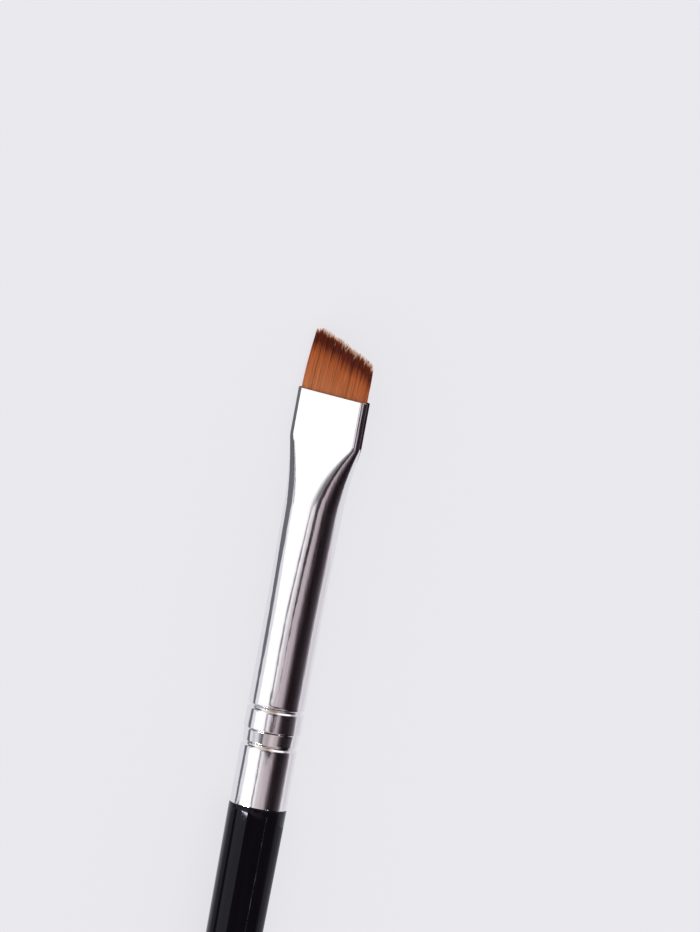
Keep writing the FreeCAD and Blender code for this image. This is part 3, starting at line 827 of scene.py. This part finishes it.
mirrored_card("stand_clamp", level(CLAMP, CLAMP_HEIGHT), card_material("painted_clamp", "#2E2529"))


def faded_in(tree, value, start, finish):
    """From 0 where the value is at its start to 1 where it is at its finish."""
    span = {"From Min": start, "From Max": finish}
    return add_node(tree, "ShaderNodeMapRange", span, {"Value": value}).outputs[0]


def panel_colour(tree, angle, panels):
    """What a row of panels shows at an angle from straight up, in radians."""
    share = faded_in(tree, angle, -math.pi / 2, math.pi / 2)
    ramp = add_node(tree, "ShaderNodeValToRGB", links={"Fac": share})
    set_ramp(ramp, [((degrees + 90) / 180, colour) for degrees, colour in panels])
    return ramp.outputs["Color"]


def light_tent():
    """The world: even white light for matt surfaces, and the tent's panels for mirrors. The panels
    are stripes along the brush, so a stripe's angle is the arc tangent of sideways over up. How far
    a direction points along the brush picks the row."""
    world = bpy.data.worlds.new("light_tent")
    bpy.context.scene.world = world
    world.use_nodes = True
    tree = world.node_tree
    tree.nodes.clear()
    toward = add_node(tree, "ShaderNodeTexCoord").outputs["Generated"]
    parts = add_node(tree, "ShaderNodeSeparateXYZ", links={"Vector": toward}).outputs
    along, angle = parts["Y"], calculated(tree, "ARCTAN2", parts["X"], parts["Z"])
    behind = calculated(tree, "MINIMUM", calculated(tree, "SUBTRACT", along, TUBE_ALONG), 0.0)
    slid = calculated(tree, "ADD", angle, calculated(tree, "MULTIPLY", behind, FLAG_SLIDE))
    shown = panel_colour(tree, slid, SIDE_PANELS)
    near = calculated(tree, "MULTIPLY", faded_in(tree, along, *NEAR_ROW), faded_in(tree, angle, *NEAR_SIDE))
    rows = [
        (MID_PANELS, faded_in(tree, along, *MID_ROW)),
        (FAR_PANELS, faded_in(tree, along, *FAR_ROW)),
        (NEAR_PANELS, near),
        (END_PANELS, faded_in(tree, along, *END_ROW)),
        (FOOT_PANELS, faded_in(tree, along, *FOOT_ROW)),
    ]
    for panels, share in rows:
        links = {"A": shown, "B": panel_colour(tree, angle, panels), "Factor": share}
        shown = add_node(tree, "ShaderNodeMix", links=links, data_type="RGBA").outputs["Result"]
    even = add_node(tree, "ShaderNodeBackground", {"Color": linear("#FFFFFF"), "Strength": EVEN_LIGHT})
    mirrored = add_node(tree, "ShaderNodeBackground", {"Strength": PANEL_LIGHT}, {"Color": shown})
    by_mirror = add_node(tree, "ShaderNodeLightPath").outputs["Is Glossy Ray"]
    light = mixed_shader(tree, by_mirror, even, mirrored)
    add_node(tree, "ShaderNodeOutputWorld", links={"Surface": light.outputs[0]})


light_tent()

# Camera: far off with a long lens, so the brush keeps its proportions. It looks at the flat face
# turned by a third of a right angle, a little from the tip's side, with the brush leaning right.

CAMERA_DISTANCE = 1.6
CLIP_START = 0.01
FRAME_HEIGHT = 93.85 * MM
SENSOR_HEIGHT = 24.0
VIEW_TURN = math.radians(30.0)
VIEW_TIP = math.radians(7.3)
VIEW_LEAN = math.radians(10.57)
LOOK_RIGHT = 1.567
LOOK_DOWN = 7.157


def aim_camera():
    """The camera's own axes, from the brush's: out of the face turned about the length, tipped
    towards the tip, and then rolled by the lean. It looks at a place measured from the mouth."""
    outward = math.cos(VIEW_TURN) * OUT_OF_FACE + math.sin(VIEW_TURN) * ACROSS
    sideways = math.cos(VIEW_TURN) * ACROSS - math.sin(VIEW_TURN) * OUT_OF_FACE
    backward = math.cos(VIEW_TIP) * outward + math.sin(VIEW_TIP) * ALONG
    upward = math.cos(VIEW_TIP) * ALONG - math.sin(VIEW_TIP) * outward
    up = math.cos(VIEW_LEAN) * upward - math.sin(VIEW_LEAN) * sideways
    right = math.cos(VIEW_LEAN) * sideways + math.sin(VIEW_LEAN) * upward
    mouth = laid_down(np.array([[0.0, FERRULE_LENGTH, 0.0]]))[0]
    target = mouth + (LOOK_RIGHT * right - LOOK_DOWN * up) * MM
    place = target + CAMERA_DISTANCE * backward
    lens = bpy.data.cameras.new("camera")
    lens.sensor_fit = "VERTICAL"
    lens.sensor_height = SENSOR_HEIGHT
    lens.lens = SENSOR_HEIGHT * CAMERA_DISTANCE / FRAME_HEIGHT
    lens.clip_start = CLIP_START
    camera = bpy.data.objects.new("camera", lens)
    bpy.context.collection.objects.link(camera)
    matrix = np.eye(4)
    matrix[:3, 0], matrix[:3, 1], matrix[:3, 2], matrix[:3, 3] = right, up, backward, place
    camera.matrix_world = matrix.T.tolist()
    bpy.context.scene.camera = camera


aim_camera()
bpy.context.scene.view_settings.view_transform = "Standard"
